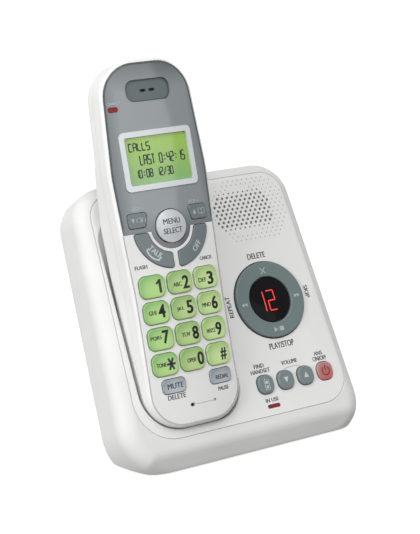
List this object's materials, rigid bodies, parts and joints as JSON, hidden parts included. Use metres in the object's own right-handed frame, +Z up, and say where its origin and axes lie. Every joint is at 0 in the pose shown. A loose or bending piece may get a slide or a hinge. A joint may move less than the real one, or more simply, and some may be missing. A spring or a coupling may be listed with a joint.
{
  "type": "answering machine",
  "caption": "Cordless telephone handset with dial keys and a lit display, standing in the cradle of a leaning digital answering base with a speaker grille and a four-way message ring.",
  "frame": {"origin": "on the table, under the middle of the object's outer box", "axes": "+Z up, +Y to the back (the face looks to -Y and up), +X to the right as seen from the front"},
  "size_m": [0.1258, 0.086, 0.1748],
  "materials": {
    "white_shell": "satin moulded plastic",
    "white_face": "satin moulded plastic",
    "grey_face": "glossy painted plastic",
    "grey_ring": "translucent grey-green plastic",
    "grey_button": "grey translucent plastic",
    "red_button": "translucent red plastic",
    "green_key": "backlit translucent plastic",
    "pale_key": "translucent plastic",
    "silver_key": "silver painted plastic",
    "bezel_silver": "silver painted plastic",
    "display_glass": "clear window over a lit display",
    "dark_window": "dark clear plastic",
    "red_lamp": "clear red light pipe",
    "dark_inside": "dull",
    "board": "solder-masked board",
    "rubber": "dull",
    "screw_steel": "plated",
    "contact_metal": "plated",
    "paper_cone": "dull",
    "magnet_iron": "dull",
    "cell_wrap": "shrink wrap"
  },
  "bodies": {
    "base": {"base_housing": "white_shell", "base_face_panel": "white_face", "base_rear_cover": "white_shell", "base_screws": "screw_steel", "stand_bracket": "white_shell", "base_feet": "rubber", "speaker_frame": "dark_inside", "speaker_cone": "paper_cone", "speaker_magnet": "magnet_iron", "base_circuit_board": "board", "base_button_pad": "rubber", "in_use_lamp": "red_lamp", "line_jack": "dark_inside", "power_jack": "dark_inside", "message_display_window": "dark_window", "message_display_module": "dark_inside", "charge_contacts": "contact_metal"},
    "handset": {"handset_front_housing": "white_shell", "handset_faceplate": "grey_face", "handset_rear_housing": "white_shell", "battery_pack": "cell_wrap", "lcd_bezel": "bezel_silver", "lcd_window": "display_glass", "lcd_module": "dark_inside", "earpiece_insert": "grey_face", "earpiece_receiver": "dark_inside", "charge_lamp": "red_lamp", "handset_circuit_board": "board", "handset_key_pad": "rubber", "microphone": "dark_inside", "handset_charge_plates": "contact_metal", "handset_screws": "screw_steel"},
    "battery_door_body": {"battery_door": "white_shell"},
    "ring_carrier_body": {"ring_carrier": "dark_inside"},
    "message_ring_body": {"message_ring": "grey_ring"},
    "find_handset_button_body": {"find_handset_button": "grey_button"},
    "base_volume_down_button_body": {"base_volume_down_button": "grey_button"},
    "base_volume_up_button_body": {"base_volume_up_button": "grey_button"},
    "answer_on_off_button_body": {"answer_on_off_button": "red_button"},
    "key_1_body": {"key_1": "green_key"},
    "key_2_body": {"key_2": "green_key"},
    "key_3_body": {"key_3": "green_key"},
    "key_4_body": {"key_4": "green_key"},
    "key_5_body": {"key_5": "green_key"},
    "key_6_body": {"key_6": "green_key"},
    "key_7_body": {"key_7": "green_key"},
    "key_8_body": {"key_8": "green_key"},
    "key_9_body": {"key_9": "green_key"},
    "key_star_body": {"key_star": "green_key"},
    "key_0_body": {"key_0": "green_key"},
    "key_hash_body": {"key_hash": "green_key"},
    "mute_key_body": {"mute_key": "pale_key"},
    "redial_key_body": {"redial_key": "pale_key"},
    "volume_down_key_body": {"volume_down_key": "grey_button"},
    "volume_up_key_body": {"volume_up_key": "grey_button"},
    "talk_key_body": {"talk_key": "grey_button"},
    "off_key_body": {"off_key": "grey_button"},
    "menu_select_key_body": {"menu_select_key": "silver_key"}
  },
  "joints": [
    {"name": "handset_lift", "type": "slide", "parent": "base", "child": "handset", "axis": [0, -0.8599, 0.5105], "range_m": [0, 0.13]},
    {"name": "battery_door_slide", "type": "slide", "parent": "handset", "child": "battery_door_body", "axis": [0, -0.3173, -0.9483], "range_m": [0, 0.003]},
    {"name": "ring_rock_up_down", "type": "hinge", "parent": "base", "child": "ring_carrier_body", "pos_m": [0.0276, -0.01286, 0.06031], "axis": [1, 0, 0], "range_deg": [-1.8, 1.8], "stiffness_Nm_per_rad": 0.3},
    {"name": "ring_rock_left_right", "type": "hinge", "parent": "ring_carrier_body", "child": "message_ring_body", "pos_m": [0.0276, -0.01286, 0.06031], "axis": [0, 0.5105, 0.8599], "range_deg": [-1.8, 1.8], "stiffness_Nm_per_rad": 0.3},
    {"name": "find_handset_button_press", "type": "slide", "parent": "base", "child": "find_handset_button_body", "axis": [0, 0.8599, -0.5105], "range_m": [0, 0.0008], "stiffness_N_per_m": 400},
    {"name": "base_volume_down_button_press", "type": "slide", "parent": "base", "child": "base_volume_down_button_body", "axis": [0, 0.8599, -0.5105], "range_m": [0, 0.0008], "stiffness_N_per_m": 400},
    {"name": "base_volume_up_button_press", "type": "slide", "parent": "base", "child": "base_volume_up_button_body", "axis": [0, 0.8599, -0.5105], "range_m": [0, 0.0008], "stiffness_N_per_m": 400},
    {"name": "answer_on_off_button_press", "type": "slide", "parent": "base", "child": "answer_on_off_button_body", "axis": [0, 0.8599, -0.5105], "range_m": [0, 0.0008], "stiffness_N_per_m": 400},
    {"name": "key_1_press", "type": "slide", "parent": "handset", "child": "key_1_body", "axis": [0.0796, 0.9453, -0.3163], "range_m": [0, 0.0008], "stiffness_N_per_m": 400},
    {"name": "key_2_press", "type": "slide", "parent": "handset", "child": "key_2_body", "axis": [0, 0.9483, -0.3173], "range_m": [0, 0.0008], "stiffness_N_per_m": 400},
    {"name": "key_3_press", "type": "slide", "parent": "handset", "child": "key_3_body", "axis": [-0.0796, 0.9453, -0.3163], "range_m": [0, 0.0008], "stiffness_N_per_m": 400},
    {"name": "key_4_press", "type": "slide", "parent": "handset", "child": "key_4_body", "axis": [0.0796, 0.9453, -0.3163], "range_m": [0, 0.0008], "stiffness_N_per_m": 400},
    {"name": "key_5_press", "type": "slide", "parent": "handset", "child": "key_5_body", "axis": [0, 0.9483, -0.3173], "range_m": [0, 0.0008], "stiffness_N_per_m": 400},
    {"name": "key_6_press", "type": "slide", "parent": "handset", "child": "key_6_body", "axis": [-0.0796, 0.9453, -0.3163], "range_m": [0, 0.0008], "stiffness_N_per_m": 400},
    {"name": "key_7_press", "type": "slide", "parent": "handset", "child": "key_7_body", "axis": [0.0796, 0.9453, -0.3163], "range_m": [0, 0.0008], "stiffness_N_per_m": 400},
    {"name": "key_8_press", "type": "slide", "parent": "handset", "child": "key_8_body", "axis": [0, 0.9483, -0.3173], "range_m": [0, 0.0008], "stiffness_N_per_m": 400},
    {"name": "key_9_press", "type": "slide", "parent": "handset", "child": "key_9_body", "axis": [-0.0796, 0.9453, -0.3163], "range_m": [0, 0.0008], "stiffness_N_per_m": 400},
    {"name": "key_star_press", "type": "slide", "parent": "handset", "child": "key_star_body", "axis": [0.0796, 0.9453, -0.3163], "range_m": [0, 0.0008], "stiffness_N_per_m": 400},
    {"name": "key_0_press", "type": "slide", "parent": "handset", "child": "key_0_body", "axis": [0, 0.9483, -0.3173], "range_m": [0, 0.0008], "stiffness_N_per_m": 400},
    {"name": "key_hash_press", "type": "slide", "parent": "handset", "child": "key_hash_body", "axis": [-0.0796, 0.9453, -0.3163], "range_m": [0, 0.0008], "stiffness_N_per_m": 400},
    {"name": "mute_key_press", "type": "slide", "parent": "handset", "child": "mute_key_body", "axis": [0.0641, 0.9464, -0.3167], "range_m": [0, 0.0008], "stiffness_N_per_m": 400},
    {"name": "redial_key_press", "type": "slide", "parent": "handset", "child": "redial_key_body", "axis": [-0.0764, 0.9456, -0.3164], "range_m": [0, 0.0008], "stiffness_N_per_m": 400},
    {"name": "volume_down_key_press", "type": "slide", "parent": "handset", "child": "volume_down_key_body", "axis": [0.0875, 0.9447, -0.3161], "range_m": [0, 0.0008], "stiffness_N_per_m": 400},
    {"name": "volume_up_key_press", "type": "slide", "parent": "handset", "child": "volume_up_key_body", "axis": [-0.0875, 0.9447, -0.3161], "range_m": [0, 0.0008], "stiffness_N_per_m": 400},
    {"name": "talk_key_press", "type": "slide", "parent": "handset", "child": "talk_key_body", "axis": [0, 0.9483, -0.3173], "range_m": [0, 0.0008], "stiffness_N_per_m": 400},
    {"name": "off_key_press", "type": "slide", "parent": "handset", "child": "off_key_body", "axis": [0, 0.9483, -0.3173], "range_m": [0, 0.0008], "stiffness_N_per_m": 400},
    {"name": "menu_select_key_press", "type": "slide", "parent": "handset", "child": "menu_select_key_body", "axis": [0, 0.9483, -0.3173], "range_m": [0, 0.0008], "stiffness_N_per_m": 400}
  ]
}
